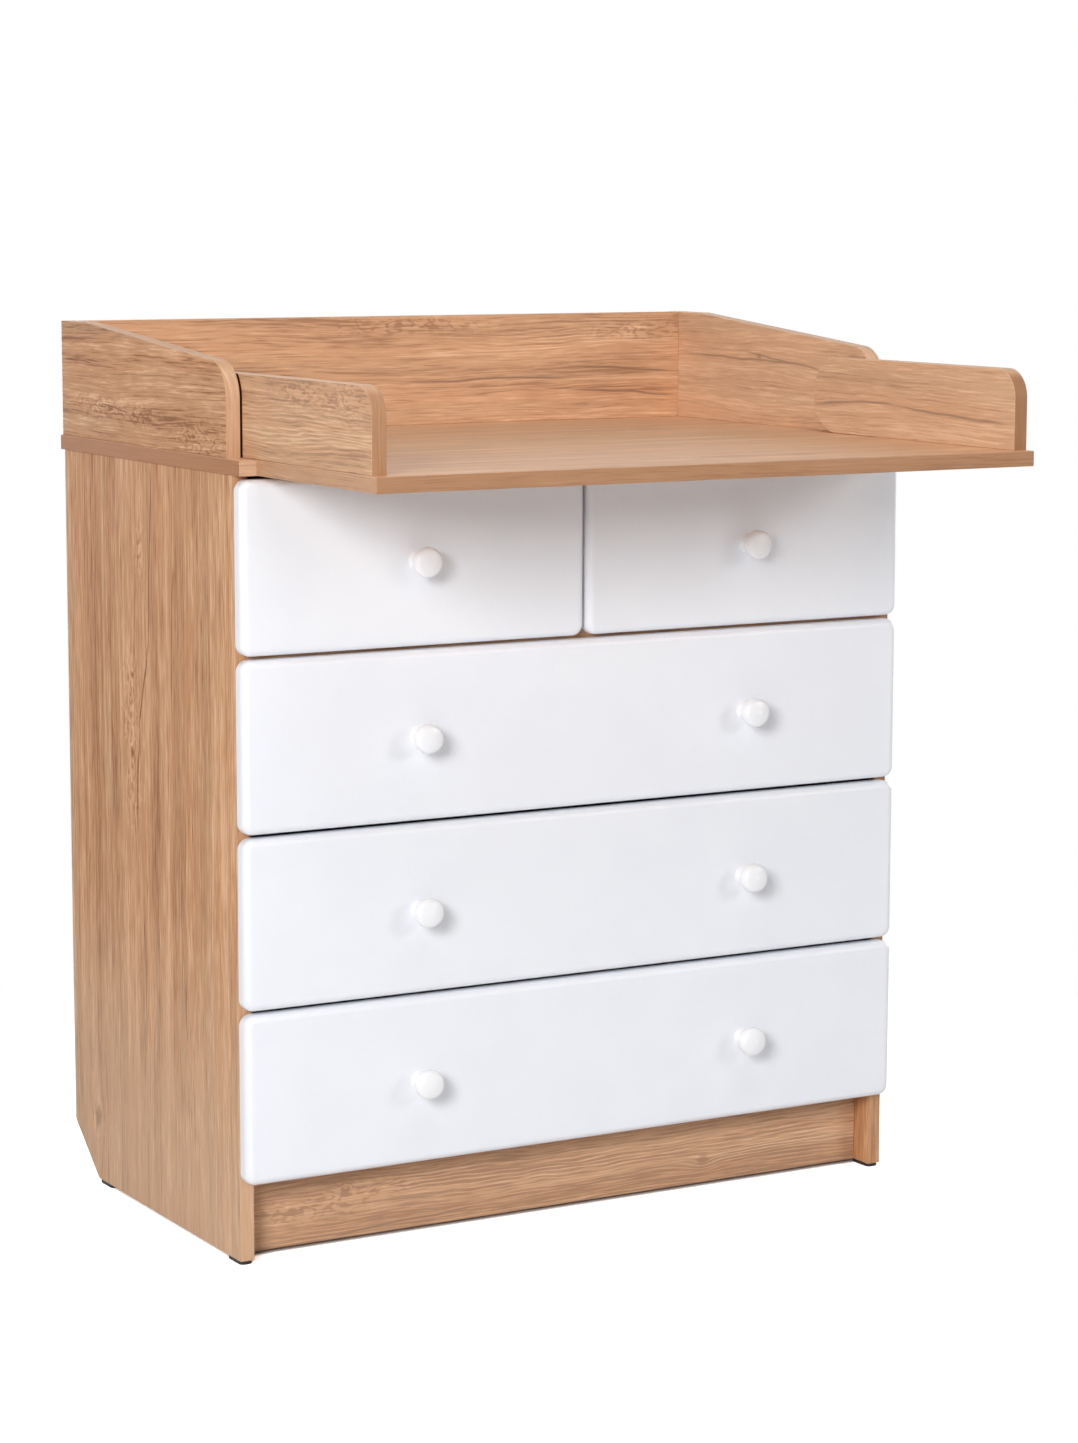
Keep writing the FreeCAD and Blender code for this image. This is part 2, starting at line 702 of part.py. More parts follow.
def make_bush(side):
    """The bush in a folding rail, whose flange keeps the rail off the deck's side rail."""
    inwards = "+x" if side == "left" else "-x"
    outwards = "-x" if side == "left" else "+x"
    name = f"bush_{side}"
    face = (fold_rail_face * SIDES[side], pivot_y, pivot_z)
    sleeve = make_rod(f"{name}_sleeve", face, inwards, bush_radius, of["bush_depth"])
    flange = make_rod(f"{name}_flange", face, outwards, of["bush_flange_radius"], of["bush_flange"])
    outer = doc.addObject("Part::MultiFuse", f"{name}_outer")
    outer.Shapes = [sleeve, flange]
    start = (face[0] + of["bush_flange"] * SIDES[side], pivot_y, pivot_z)
    bore = make_rod(f"{name}_bore", start, inwards, pin_hole, of["bush_depth"] + of["bush_flange"])
    bush = doc.addObject("Part::Cut", name)
    bush.Base = outer
    bush.Tool = bore
    return bush


def make_pin(side):
    """The pivot pin, seated in the deck's side rail and reaching into the bush."""
    start = ((half_inside + of["pin_seat"]) * SIDES[side], pivot_y, pivot_z)
    length = of["pin_seat"] + of["fold_rail_gap"] + of["pin_reach"]
    return make_rod(f"pin_{side}", start, "+x" if side == "left" else "-x", of["pin_radius"], length)


make_fold_board()
for fold_side in SIDES:
    make_fold_rail(fold_side)
keep_group(
    "fold_screws",
    [make_screw(f"fold_screw_{n}", (*spot, fold_board_low)) for n, spot in enumerate(fold_screws)],
)
keep_group("pivot_bushes", [make_bush(side) for side in SIDES])
keep_group("pivot_pins", [make_pin(side) for side in SIDES])


# --- Drawers -----------------------------------------------------------------------------------
# Each drawer: its name, its row from the bottom, and the clear space between the walls beside it.

BAYS = {
    "lower_drawer": (0, -half_inside, half_inside),
    "middle_drawer": (1, -half_inside, half_inside),
    "upper_drawer": (2, -half_inside, half_inside),
    "top_left_drawer": (3, -half_inside, -half_board),
    "top_right_drawer": (3, half_board, half_inside),
}
box_front = front_back_face
box_rear = box_front + box_depth
slide_middle = of["box_height"] / 2
runner_front = carcass_front + of["runner_inset"]
cage_front = runner_front + of["slide_travel"] / 2 + of["cage_stop"]


def front_span(bay):
    """Left and right edges of a drawer front: a wide one covers the carcass, narrow ones share it."""
    _, left, right = bay
    half_gap = of["front_gap"] / 2
    left_edge = -half_width if left.value < -half_board.value else half_gap
    right_edge = half_width if right.value > half_board.value else -half_gap
    return left_edge, right_edge


def make_front(name, bay, low, knob_places):
    """A drawer front with round corners, a softly rounded face and holes for the knobs' studs."""
    left_edge, right_edge = front_span(bay)
    corner = (left_edge, front_face, low)
    body = add_body(name, corner)
    block = add_block(body, (right_edge - left_edge, of["front_thickness"], of["front_height"]))
    corners = round_edges(body, block, of["front_corner"], lambda edge: is_along(edge, "y"))
    round_edges(body, corners, of["front_round"], lambda edge: reaches(edge, y=0))
    for x, z in knob_places:
        drill(body, offsets((x, front_face, z), corner), "+y", stud_hole, of["stud_length"])
    return keep(name, body)


def make_knob(name, x, z):
    """A turned knob: stud, flared foot, neck, and a domed head with a rounded rim."""
    body = add_body(name, (x, front_face + of["stud_length"], z), Rotation(Vector(0, 0, 1), 180))
    face = of["stud_length"]
    crown = face + of["knob_reach"]
    under_head = crown - of["knob_head"]
    profile = (
        (0, crown),
        (0, 0),
        (of["stud_radius"], 0),
        (of["stud_radius"], face),
        (of["knob_foot_radius"], face),
        (of["knob_neck_radius"], face + of["knob_foot"]),
        (of["knob_neck_radius"], under_head),
        (of["knob_radius"], under_head),
        (of["knob_radius"], crown - of["knob_dome"]),
    )
    turning = body.newObject("PartDesign::Revolution", f"{name}_turning")
    sketch = draw_outline(body, "XY_Plane", profile, dome=True)
    turning.Profile = sketch
    turning.ReferenceAxis = (sketch, ["V_Axis"])
    rim = round_edges(body, turning, of["knob_rim"], lambda edge: is_ring(edge, of["knob_radius"]))
    round_edges(body, rim, of["knob_hollow"], is_knob_hollow)
    return body


def make_box_side(name, x, low, groove_x):
    """A side of a drawer box, with the groove that the bottom slides into."""
    body = board_piece(name, (of["board"], box_depth, of["box_height"]), (x, box_front, low))
    groove = body.newObject("PartDesign::SubtractiveBox", f"{name}_groove")
    bind(groove, "Length", of["groove_depth"])
    bind(groove, "Width", box_depth)
    bind(groove, "Height", of["thin_sheet"] + of["groove_play"])
    place(groove, (groove_x, 0, of["bottom_lift"]))
    return body


def make_channel(name, wall_x, away, y, middle_z, height, lip, length):
    """A member of a runner: a web against a wall, with a lip along each edge that points away from it."""
    steel = of["runner_steel"]
    web_x = wall_x if away > 0 else wall_x - steel
    lip_x = wall_x if away > 0 else wall_x - lip
    corner = (lip_x, y, middle_z - height / 2)
    body = add_body(name, corner)
    add_block(body, (steel, length, height), (web_x - lip_x, 0, 0))
    add_block(body, (lip, length, steel))
    add_block(body, (lip, length, steel), (0, 0, height - steel))
    return body


def make_cage(name, wall_x, away, middle_z):
    """The ball cage between the two members of a runner: a web that joins an upper and a lower strip."""
    gap_low = of["slide_height"] / 2 + of["cage_play"]
    gap_high = of["runner_height"] / 2 - of["runner_steel"] - of["cage_play"]
    web_near = wall_x + (of["runner_steel"] + of["cage_play"]) * away
    web_x = web_near if away > 0 else web_near - of["cage_sheet"]
    strip_x = web_near if away > 0 else web_near - of["cage_width"]
    corner = (strip_x, cage_front, middle_z - gap_high)
    body = add_body(name, corner)
    add_block(body, (of["cage_sheet"], of["cage_length"], gap_high * 2), (web_x - strip_x, 0, 0))
    for z in (0, gap_high + gap_low):
        add_block(body, (of["cage_width"], of["cage_length"], gap_high - gap_low), (0, 0, z))
    return body


def make_drawer(drawer, bay):
    """A drawer: front, knobs, box sides, box back, thin bottom, and its runners and cages."""
    row, left, right = bay
    low = of["kick_height"] + row_pitch * row
    box_low = low + of["box_lift"]
    box_left = left + of["runner_space"]
    box_right = right - of["runner_space"]
    inner_left = box_left + of["board"]
    inner_right = box_right - of["board"]
    bottom_low = box_low + of["bottom_lift"]
    bottom_top = bottom_low + of["thin_sheet"] + of["groove_play"]
    left_edge, right_edge = front_span(bay)
    middle_x = (left_edge + right_edge) / 2
    spread = of["width"] / 4
    is_wide = row < FRONT_ROWS - 1
    knob_xs = (middle_x - spread, middle_x + spread) if is_wide else (middle_x,)
    knob_z = low + of["front_height"] / 2

    make_front(f"{drawer}_front", bay, low, [(x, knob_z) for x in knob_xs])
    knobs = [make_knob(f"{drawer}_knob_{n}", x, knob_z) for n, x in enumerate(knob_xs)]
    keep_group(f"{drawer}_knobs", knobs)
    sides = [
        make_box_side(f"{drawer}_side_left", box_left, box_low, of["board"] - of["groove_depth"]),
        make_box_side(f"{drawer}_side_right", inner_right, box_low, 0),
    ]
    keep_group(f"{drawer}_sides", sides)
    back_lengths = (inner_right - inner_left, of["board"], box_low + of["box_height"] - bottom_top)
    back = board_piece(f"{drawer}_back", back_lengths, (inner_left, box_rear - of["board"], bottom_top))
    keep(f"{drawer}_back", back)
    tongue = of["groove_depth"] - of["groove_play"]
    bottom_corner = (inner_left - tongue, box_front, bottom_low + of["groove_play"] / 2)
    bottom = add_body(f"{drawer}_bottom", bottom_corner)
    add_block(bottom, (inner_right - inner_left + tongue * 2, box_depth, of["thin_sheet"]))
    keep(f"{drawer}_bottom", bottom)

    middle_z = box_low + slide_middle
    walls = (("left", left, box_left, 1), ("right", right, box_right, -1))
    slides = []
    cages = []
    for side, wall, box_face, away in walls:
        slides.append(
            make_channel(
                f"{drawer}_slide_{side}", box_face, -away, box_front, middle_z, of["slide_height"],
                of["slide_lip"], box_depth,
            )
        )
        cages.append(make_cage(f"{drawer}_cage_{side}", wall, away, middle_z))
        outer_members.append(
            make_channel(
                f"{drawer}_runner_{side}", wall, away, runner_front, middle_z, of["runner_height"],
                of["runner_lip"], runner_length,
            )
        )
    keep_group(f"{drawer}_slides", slides)
    keep_group(f"{drawer}_ball_cages", cages)


stud_hole = of["stud_radius"] + of["running_clearance"]
outer_members = []
for drawer_name, drawer_bay in BAYS.items():
    make_drawer(drawer_name, drawer_bay)
keep_group("carcass_runners", outer_members)


# --- Write the sub-parts -----------------------------------------------------------------------


def check_document():
    """Stop if an object failed to build or a sub-part is empty or broken."""
    doc.recompute()
    for item in doc.Objects:
        if "Invalid" in item.State or "Error" in item.State:
            raise RuntimeError(f"{item.Label} did not build: {item.State}")
    for name, piece in nodes.items():
        if piece.Shape.isNull() or not piece.Shape.isValid() or not piece.Shape.Solids:
            raise RuntimeError(f"{name} is not a valid solid")


check_document()
os.makedirs("parts", exist_ok=True)
for node, part in nodes.items():
    part.Shape.exportStep(f"parts/{node}.step")
print(f"{len(nodes)} sub-parts written")
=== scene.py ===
"""Looks of the changing dresser: laminate, foil, plastic and metal, small fittings, light and camera."""

import math

import bmesh
import bpy
from mathutils import Matrix, Vector


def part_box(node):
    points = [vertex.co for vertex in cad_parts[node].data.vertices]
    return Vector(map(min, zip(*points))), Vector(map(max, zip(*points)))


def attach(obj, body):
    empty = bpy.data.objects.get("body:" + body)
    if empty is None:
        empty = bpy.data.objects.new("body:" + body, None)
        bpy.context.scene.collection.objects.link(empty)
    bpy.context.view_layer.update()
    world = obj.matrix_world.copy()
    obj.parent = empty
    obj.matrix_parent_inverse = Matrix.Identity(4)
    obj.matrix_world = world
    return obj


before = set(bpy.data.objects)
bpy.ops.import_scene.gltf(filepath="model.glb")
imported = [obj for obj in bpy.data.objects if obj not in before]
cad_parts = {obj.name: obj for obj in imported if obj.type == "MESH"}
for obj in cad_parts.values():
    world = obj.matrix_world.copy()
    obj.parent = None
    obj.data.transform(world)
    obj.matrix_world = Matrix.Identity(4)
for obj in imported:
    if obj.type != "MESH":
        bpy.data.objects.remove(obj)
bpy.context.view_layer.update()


def dress(material, *names):
    """Give CAD nodes a material."""
    for name in names:
        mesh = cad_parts[name].data
        mesh.materials.clear()
        mesh.materials.append(material)


def to_linear(share):
    """The light that a screen gives for a level, both as shares of the most."""
    return ((share + 0.055) / 1.055) ** 2.4 if share > 0.04 else share / 12.92


def srgb(*levels):
    """A linear colour from the 0 to 255 levels of red, green and blue that a picture editor shows."""
    return (*(to_linear(level / 255) for level in levels), 1)


# --- Formulas in node trees --------------------------------------------------------------------


class Value:
    """A number in a node tree that can be used in a formula."""

    def __init__(self, formulas, socket):
        self.formulas = formulas
        self.socket = socket

    def __add__(self, other):
        return self.formulas.math("ADD", self, other)

    def __sub__(self, other):
        return self.formulas.math("SUBTRACT", self, other)

    def __rsub__(self, other):
        return self.formulas.math("SUBTRACT", other, self)

    def __mul__(self, other):
        return self.formulas.math("MULTIPLY", self, other)

    def __truediv__(self, other):
        return self.formulas.math("DIVIDE", self, other)

    __radd__ = __add__
    __rmul__ = __mul__

    def step(self, low, high, result=(0, 1)):
        """Goes smoothly from the first result to the second as this value goes from low to high."""
        node = self.formulas.node("ShaderNodeMapRange", interpolation_type="SMOOTHSTEP")
        names = ("Value", "From Min", "From Max", "To Min", "To Max")
        for name, value in zip(names, (self, low, high, *result)):
            self.formulas.feed(node.inputs[name], value)
        return Value(self.formulas, node.outputs["Result"])

    def size(self):
        """The value without its sign."""
        return self.formulas.math("ABSOLUTE", self)


class Formulas:
    """A node tree that is built up from formulas."""

    def __init__(self, tree):
        self.tree = tree

    def node(self, kind, **settings):
        node = self.tree.nodes.new(kind)
        for key, value in settings.items():
            setattr(node, key, value)
        return node

    def feed(self, socket, value):
        if isinstance(value, Value):
            self.tree.links.new(value.socket, socket)
        else:
            socket.default_value = value

    def math(self, operation, *values):
        node = self.node("ShaderNodeMath", operation=operation)
        for socket, value in zip(node.inputs, values):
            self.feed(socket, value)
        return Value(self, node.outputs[0])

    def noise(self, point, detail=2.0, roughness=0.5):
        """Noise from 0 to 1 with features about one unit apart."""
        joined = self.node("ShaderNodeCombineXYZ")
        for socket, value in zip(joined.inputs, point):
            self.feed(socket, value)
        noise = self.node("ShaderNodeTexNoise")
        self.tree.links.new(joined.outputs[0], noise.inputs["Vector"])
        for name, value in (("Scale", 1.0), ("Detail", detail), ("Roughness", roughness)):
            noise.inputs[name].default_value = value
        return Value(self, noise.outputs[0])

    def blend(self, amount, first, second):
        """A colour that goes from the first to the second as amount goes from 0 to 1."""
        mix = self.node("ShaderNodeMix", data_type="RGBA")
        for socket, value in zip((mix.inputs[0], mix.inputs[6], mix.inputs[7]), (amount, first, second)):
            self.feed(socket, value)
        return Value(self, mix.outputs[2])

    def rays(self):
        """1 for a ray from the camera, and 1 for a ray that was mirrored or went through something."""
        path = self.node("ShaderNodeLightPath")
        camera, glossy, clear = (Value(self, path.outputs[f"Is {kind} Ray"])
                                 for kind in ("Camera", "Glossy", "Transmission"))
        return camera, self.math("MAXIMUM", glossy, clear)


class Shader(Formulas):
    """A material with a Principled shader, built up from formulas."""

    def __init__(self, name, specular=0.5, metallic=0.0):
        self.material = bpy.data.materials.new(name)
        self.material.use_nodes = True
        super().__init__(self.material.node_tree)
        self.surface = self.tree.nodes["Principled BSDF"]
        self.surface.inputs["Specular IOR Level"].default_value = specular
        self.surface.inputs["Metallic"].default_value = metallic
        self.place = self.node("ShaderNodeTexCoord")
        self.at = self.parts("Object")

    def parts(self, output):
        """The x, y and z of the place or of the surface's normal, in the piece's own axes."""
        split = self.node("ShaderNodeSeparateXYZ")
        self.tree.links.new(self.place.outputs[output], split.inputs[0])
        return dict(zip("xyz", (Value(self, out) for out in split.outputs)))

    def paint(self, colour, roughness, height, depth):
        """Link the surface's colour and roughness, and a bump of the given depth in metres."""
        bump = self.node("ShaderNodeBump")
        bump.inputs["Distance"].default_value = depth
        self.feed(bump.inputs["Height"], height)
        self.feed(self.surface.inputs["Base Color"], colour)
        self.feed(self.surface.inputs["Roughness"], roughness)
        self.tree.links.new(bump.outputs[0], self.surface.inputs["Normal"])
        return self.material


# --- Oak laminate ------------------------------------------------------------------------------
# Places on a board are (along the grain, across it) in metres, on the part's own axes.


# The wood's colours where its pattern is dark, middling and light, each in a yellower and a redder kind.
WOOD = (
    (srgb(143, 91, 50), srgb(148, 90, 46)),
    (srgb(195, 146, 105), srgb(202, 146, 102)),
    (srgb(229, 188, 150), srgb(233, 186, 145)),
)
CRACK = srgb(112, 64, 34)
# Paler wood for lighter boards, and painted light from the floor on a panel's lower end.
PALE_WOOD_AND_FLOOR_LIGHT = srgb(230, 203, 177)
EDGE_BAND = srgb(207, 166, 134)
# Painted light and painted shade for edge bands that face the front, and painted shade for those that face
# left.
LIT_EDGE_BAND = srgb(206, 182, 164)
SHADED_BAND = srgb(134, 83, 43)
SHADED_FLANK = srgb(156, 88, 22)
# Painted shade in the narrow gap where a folding rail runs close to the rear rail.
GAP_SHADE = srgb(56, 34, 22)
PORE_DEPTH = 0.00009


class Laminate(Shader):
    """Printed oak laminate for one board, with edge bands whose grain follows the edge.

    axes names the axes along the grain, across it and through the board. Marks lie on the face that looks
    along the third axis, or against it where front is -1. u runs along the grain and v across it. edge is 1
    on the edge bands, face is 1 on the marked face, and layer keeps the patterns of the two faces apart.
    """

    def __init__(self, name, axes, seed, front, gloss):
        super().__init__(name, specular=gloss)
        along, across, through = (self.at[axis] for axis in axes)
        self.facing = self.parts("Normal")
        self.normal = self.facing[axes[2]]
        self.edge = self.normal.size().step(0.75, 0.6)
        side = (self.normal * front).step(-0.1, 0.1)
        self.face = side * (1 - self.edge)
        self.layer = side * 4 + seed
        self.u = along + across * self.edge
        self.v = across * (1 - self.edge) + (through + 0.4) * self.edge
        self.sway = self.on_board(1.7, 6, 0, 2) - 0.5
        self.ripple = self.on_board(8, 24, 1, 2) - 0.5
        self.grain = self.v + self.sway * 0.03 + self.ripple * 0.006

    def on_board(self, along_rate, across_rate, number, *detail):
        """Noise with so many features in a metre along the board and across it."""
        return self.noise((self.u * along_rate, self.v * across_rate, self.layer + number), *detail)

    def on_grain(self, along_rate, across_rate, number, *detail):
        """The same, drawn aside with the grain."""
        return self.noise((self.u * along_rate, self.grain * across_rate, self.layer + number), *detail)

    def blob(self, centre_u, centre_v, length, width):
        """A soft round patch on the marked face, 1 in its middle."""
        du = (self.u - centre_u) / length
        dv = (self.v - centre_v) / width
        return self.math("EXPONENT", (du * du + dv * dv) * -1) * self.face

    def blobs(self, places):
        """Several soft patches, added up."""
        total = 0.0
        for place in places:
            total = self.blob(*place) + total
        return total

    def bend_round(self, knots):
        """Lead the grain round the knots, and give where their dark hearts are."""
        hearts = 0.0
        for knot_u, knot_v, radius in knots:
            near = self.blob(knot_u, knot_v, radius * 2.6, radius * 1.3)
            self.grain = self.grain - (self.v - knot_v) * near * 0.8 + near * radius * 0.5
            hearts = self.blob(knot_u, knot_v, radius * 0.8, radius * 0.55) + hearts
        return hearts

    def curved_lines(self, figured, flames):
        """Fine lines along the bent grain, in flames and here and there."""
        figure = self.on_board(2.6, 11, 6, 1).step(0.52, 0.7) * 0.6 + figured + self.blobs(flames)
        wander = self.on_board(7, 30, 7, 2, 0.6)
        lines = self.math("SINE", self.grain * 1500 + wander * 26).step(0.0, 1.0) - 0.35
        return lines * figure * (1 - self.edge)

    def curls(self, burls):
        """Small dark rings, in burls."""
        swirl = self.on_board(14, 36, 10, 3, 0.6)
        rings = self.math("SINE", swirl * 62).step(0.3, -0.9) * -1.2 + 0.45
        return rings * self.blobs(burls)

    def pattern(self, tone, figured, knots, flames, burls, washes):
        """The wood's lightness, about 0 where it is dark and about 1 where it is light."""
        hearts = self.bend_round(knots)
        zones = self.on_grain(0.6, 34, 2, 1).step(0.36, 0.64) - 0.5
        bands = self.on_grain(1.2, 70, 3, 2) - 0.5
        patches = self.on_grain(6, 38, 14, 3, 0.6) - 0.5
        streaks = self.on_grain(4, 170, 4, 3, 0.65) - 0.5
        self.fibres = self.on_grain(24, 430, 5, 2, 0.6) - 0.5
        self.scratch = self.on_grain(5, 320, 9, 1)
        veins = self.on_grain(1.6, 105, 12, 2, 0.6)
        dark_veins = (veins - 0.47).size().step(0.02, 0.0)
        light_veins = (veins - 0.56).size().step(0.018, 0.0)

        value = zones * 0.25 + bands * 0.6 + patches * 0.9 + streaks * 0.8 + self.fibres * 1.7
        value = value + self.curved_lines(figured, flames) * 0.5 + self.curls(burls) * 0.5
        value = value - hearts * 1.3 + (0.52 + tone)
        for *place, change in washes:
            value = value + self.blob(*place) * change
        value = value - dark_veins * 0.38 + light_veins * 0.3
        return value - self.scratch.step(0.58, 0.74) * 0.25 + self.scratch.step(0.4, 0.25) * 0.25

    def print_wood(self, value):
        """The wood's colour where its pattern has this lightness."""
        red = self.on_grain(0.8, 34, 8, 1).step(0.3, 0.7)
        dark, middle, light = (self.blend(red, *kinds) for kinds in WOOD)
        return self.blend(value.step(0.5, 1.15), self.blend(value.step(-0.15, 0.5), dark, middle), light)

    def add_cracks(self, colour, cracks):
        """Dark cracks that wave a little and end softly."""
        for u_start, v_start, u_end, v_end, width in cracks:
            part = (self.u - u_start) / (u_end - u_start)
            ends = part.step(0.0, 0.2) * part.step(1.0, 0.8)
            wave = self.ripple * 0.014 + self.sway * 0.01
            off = (self.v + wave - v_start - part * (v_end - v_start)).size()
            mark = off.step(width, width * 0.3) * ends * self.face
            colour = self.blend(mark * (self.fibres * 1.5 + 0.85), colour, CRACK)
        return colour

    def add_edge_bands(self, colour, front_edge_shading, left_edge_shading):
        """The edge bands, with painted shade or painted light on the edges that face the front, and painted
        shade on those that face left.
        """
        colour = self.blend(self.edge * 0.35, colour, EDGE_BAND)
        if front_edge_shading:
            band = SHADED_BAND if front_edge_shading > 0 else LIT_EDGE_BAND
            colour = self.blend(self.edge * self.facing["y"].step(-0.4, -0.8) * abs(front_edge_shading), colour, band)
        if left_edge_shading:
            colour = self.blend(self.edge * self.facing["x"].step(-0.4, -0.8) * left_edge_shading, colour, SHADED_FLANK)
        return colour

    def add_gap_shade(self, colour, gap_shade_side):
        """Painted shade on the strip of a folding rail that the rear rail covers; the rear rail's upper front
        corner is an arc.
        """
        over = self.math("MAXIMUM", self.v - 0.8897, 0.0)
        back = self.u + 0.02835
        behind = self.math("SQRT", over * over + back * back).step(0.0387, 0.0381) * self.u.step(-0.03, -0.04)
        return self.blend(behind * (self.normal * gap_shade_side).step(0.6, 0.8), colour, GAP_SHADE)


def oak(name, axes, seed, front=1, tone=0.0, pale=0.0, floor_light=0.0, front_edge_shading=0.0, left_edge_shading=0.0, figured=0.0, gloss=0.08,
        gap_shade_side=0, knots=(), cracks=(), flames=(), burls=(), washes=()):
    """The laminate of one board.

    knots are (along, across, radius), cracks (along, across, along, across, width), flames and burls (along,
    across, half length, half width), and washes the same with a change of tone. tone and pale lighten the
    board; on the deck the pale tone also stands for a painted sheen. fade paints light from the floor on the
    board's lower end. rim paints shade on the edge at the front, or painted light where it is negative. flank
    paints shade on the edge on the left. figured spreads fine curved lines over the board. hidden is the side
    on which a folding rail runs close to the rear rail, where painted shade stands for the gap's shadow.
    """
    s = Laminate(name, axes, seed, front, gloss)
    colour = s.print_wood(s.pattern(tone, figured, knots, flames, burls, washes))
    colour = s.add_cracks(colour, cracks)
    # A paler tone over the board, with painted light from the floor growing towards its lower end.
    if pale or floor_light:
        colour = s.blend(s.u.step(0.4, 0.0) * floor_light + pale, colour, PALE_WOOD_AND_FLOOR_LIGHT)
    colour = s.add_edge_bands(colour, front_edge_shading, left_edge_shading)
    if gap_shade_side:
        colour = s.add_gap_shade(colour, gap_shade_side)
    pores = s.fibres * 0.6 + s.scratch.step(0.6, 0.76) * -0.5
    return s.paint(colour, s.fibres * 0.12 + 0.37, pores, PORE_DEPTH)


UPRIGHT = "zyx"
ACROSS = "xzy"
LEVEL = "xyz"
RAIL = "yzx"
OAK = {
    "side_panel_left": (UPRIGHT, 1.0, -1),
    "side_panel_right": (UPRIGHT, 21.0, 1),
    "centre_divider": (UPRIGHT, 31.0, 1),
    "top_deck": (LEVEL, 41.0, 1),
    "fold_board": (LEVEL, 51.0, 1),
    "bottom_panel": (LEVEL, 61.0, 1),
    "divider_shelf": (LEVEL, 71.0, 1),
    "plinth": (ACROSS, 81.0, -1),
    "rear_plinth": (ACROSS, 91.0, 1),
    "back_rail": (ACROSS, 101.0, -1),
    "rear_rail_left": (RAIL, 111.0, -1),
    "rear_rail_right": (RAIL, 121.0, -1),
    "fold_rail_left": (RAIL, 131.0, -1),
    "fold_rail_right": (RAIL, 141.0, -1),
}
# Below, the shading of front and left edges, the light from the floor, the shade in the gap at the folding
# rails and the side panel's wash are painted light and shade; the other marks are the wood's own.
MARKS = {
    "side_panel_left": dict(
        floor_light=0.42,
        knots=((0.075, 0.289, 0.012), (0.585, 0.176, 0.005), (0.50, 0.18, 0.006)),
        cracks=((0.82, 0.122, 0.60, 0.137, 0.0018), (0.63, 0.135, 0.52, 0.166, 0.002),
                (0.54, 0.160, 0.41, 0.170, 0.0016), (0.71, 0.070, 0.56, 0.077, 0.0012),
                (0.275, 0.050, 0.205, 0.044, 0.0016), (0.80, 0.30, 0.66, 0.308, 0.0012)),
        flames=((0.12, 0.035, 0.06, 0.012), (0.2, 0.16, 0.14, 0.03)),
        burls=((0.586, 0.184, 0.03, 0.018), (0.53, 0.182, 0.035, 0.02), (0.46, 0.178, 0.04, 0.018),
               (0.72, 0.155, 0.03, 0.012), (0.075, 0.289, 0.03, 0.02)),
        # A lighter band along the panel's front edge: painted light, which falls off towards the rear.
        washes=((0.45, -0.08, 0.6, 0.09, 0.16),),
    ),
    "plinth": dict(
        tone=-0.24,
        pale=0.32,
        figured=0.6,
        knots=((0.180, 0.030, 0.007), (-0.266, 0.053, 0.004), (-0.327, 0.041, 0.005)),
        cracks=((-0.285, 0.008, -0.19, 0.0155, 0.0018), (-0.22, 0.0145, -0.10, 0.0155, 0.0014)),
        flames=((-0.144, 0.053, 0.06, 0.01), (0.0, 0.045, 0.12, 0.012), (0.26, 0.032, 0.1, 0.01)),
        burls=((-0.327, 0.041, 0.04, 0.012), (-0.262, 0.050, 0.025, 0.018), (-0.21, 0.052, 0.025, 0.009)),
    ),
    "rear_rail_left": dict(
        tone=-0.06,
        front_edge_shading=-0.25,
        cracks=((0.356, 0.9153, 0.27, 0.914, 0.001), (0.26, 0.872, 0.17, 0.866, 0.0011)),
        burls=((0.26, 0.868, 0.06, 0.013), (0.15, 0.862, 0.05, 0.01), (0.0, 0.845, 0.06, 0.018)),
    ),
    "fold_rail_left": dict(
        pale=0.27,
        front_edge_shading=0.5,
        gap_shade_side=-1,
        flames=((-0.18, 0.87, 0.2, 0.035),),
        burls=((-0.30, 0.895, 0.035, 0.02), (-0.20, 0.90, 0.06, 0.012)),
    ),
    "back_rail": dict(
        tone=-0.04,
        pale=0.24,
        cracks=((-0.01, 0.8818, 0.255, 0.882, 0.0018), (0.22, 0.8955, 0.39, 0.884, 0.0018),
                (0.225, 0.866, 0.39, 0.856, 0.0018)),
        flames=((0.25, 0.93, 0.14, 0.02),),
        burls=((0.02, 0.945, 0.09, 0.009), (0.33, 0.935, 0.06, 0.01)),
        washes=((-0.08, 0.93, 0.14, 0.04, -0.22),),
    ),
    "rear_rail_right": dict(
        tone=0.1,
        pale=0.38,
        knots=((0.161, 0.9095, 0.005),),
        cracks=((0.33, 0.909, 0.05, 0.905, 0.002), (0.20, 0.915, 0.02, 0.90, 0.0014)),
    ),
    "fold_rail_right": dict(
        tone=0.08,
        pale=0.36,
        front_edge_shading=0.68,
        gap_shade_side=1,
        cracks=((0.03, 0.864, -0.15, 0.868, 0.002), (-0.13, 0.869, -0.35, 0.858, 0.002)),
    ),
    # The deck's pale tone also stands for a painted sheen; both boards get painted light or shade on their
    # front edges and painted shade on their left edges.
    "top_deck": dict(pale=0.24, front_edge_shading=-0.15, left_edge_shading=0.72, gloss=0.15),
    "fold_board": dict(pale=0.15, front_edge_shading=0.55, left_edge_shading=0.2, gloss=0.3),
}
for node, (axes, seed, front) in OAK.items():
    dress(oak(f"oak_{node}", axes, seed, front, **MARKS.get(node, {})), node)


# --- Other materials ---------------------------------------------------------------------------


